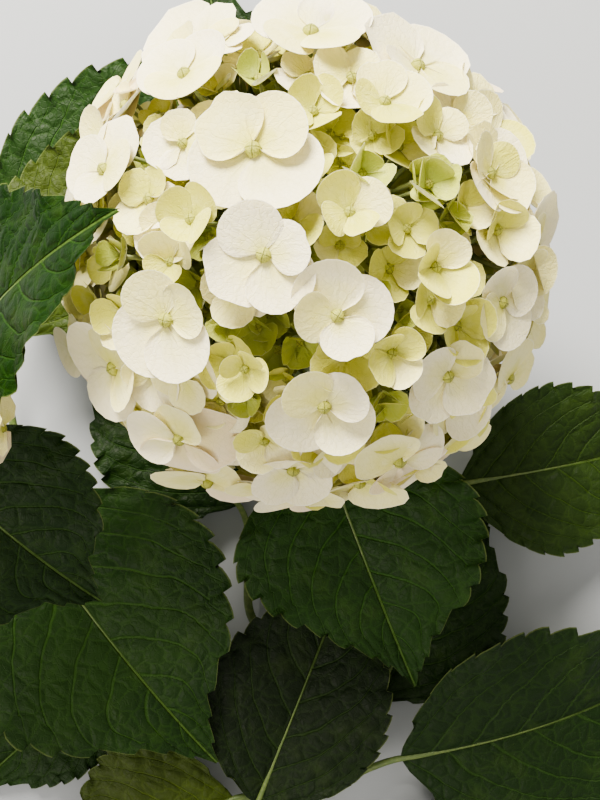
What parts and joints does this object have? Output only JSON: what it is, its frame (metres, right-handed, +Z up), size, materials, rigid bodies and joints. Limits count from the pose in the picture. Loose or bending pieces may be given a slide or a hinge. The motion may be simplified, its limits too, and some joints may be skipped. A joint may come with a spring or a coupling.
{
  "type": "cut hydrangea flower branch",
  "caption": "Cut branch of a garden hydrangea lying down, with a large round white flower head, a smaller head beside it and broad toothed green leaves in pairs.",
  "frame": {"origin": "centre of the bottom of the whole branch's box, on the surface that it lies on", "axes": "+Z up; +Y from the cut end of the stem towards the large flower head; +X to the right of that, seen from above"},
  "size_m": [0.3926, 0.4456, 0.1982],
  "materials": {
    "petals": "soft matt, faint radial veins",
    "young_petals": "soft matt, cream to pale green",
    "leaf": "satin, quilted between lighter veins",
    "young_leaf": "satin, yellow-green",
    "green_stem": "satin green skin with small dots",
    "bark": "matt pale brown bark, ridged lengthwise"
  },
  "bodies": {
    "root": {"cut_stem": "bark", "main_shoot": "green_stem", "side_shoot": "green_stem", "side_shoot_top": "green_stem", "leaf_top_front": "leaf", "leaf_top_back": "leaf", "leaf_second_right": "leaf", "leaf_second_left": "leaf", "leaf_third_right": "leaf", "leaf_third_left": "leaf", "leaf_stem_right": "leaf", "leaf_stem_left": "young_leaf", "leaf_stem_over": "leaf", "leaf_stem_front": "young_leaf", "leaf_side_low": "leaf", "leaf_side_third_front": "leaf", "leaf_side_third_back": "leaf", "leaf_side_second_back": "young_leaf", "leaf_side_second_front": "leaf", "leaf_side_top_right": "leaf", "leaf_side_top_front": "leaf", "main_bloom": "petals", "small_bloom": "young_petals"}
  },
  "joints": []
}
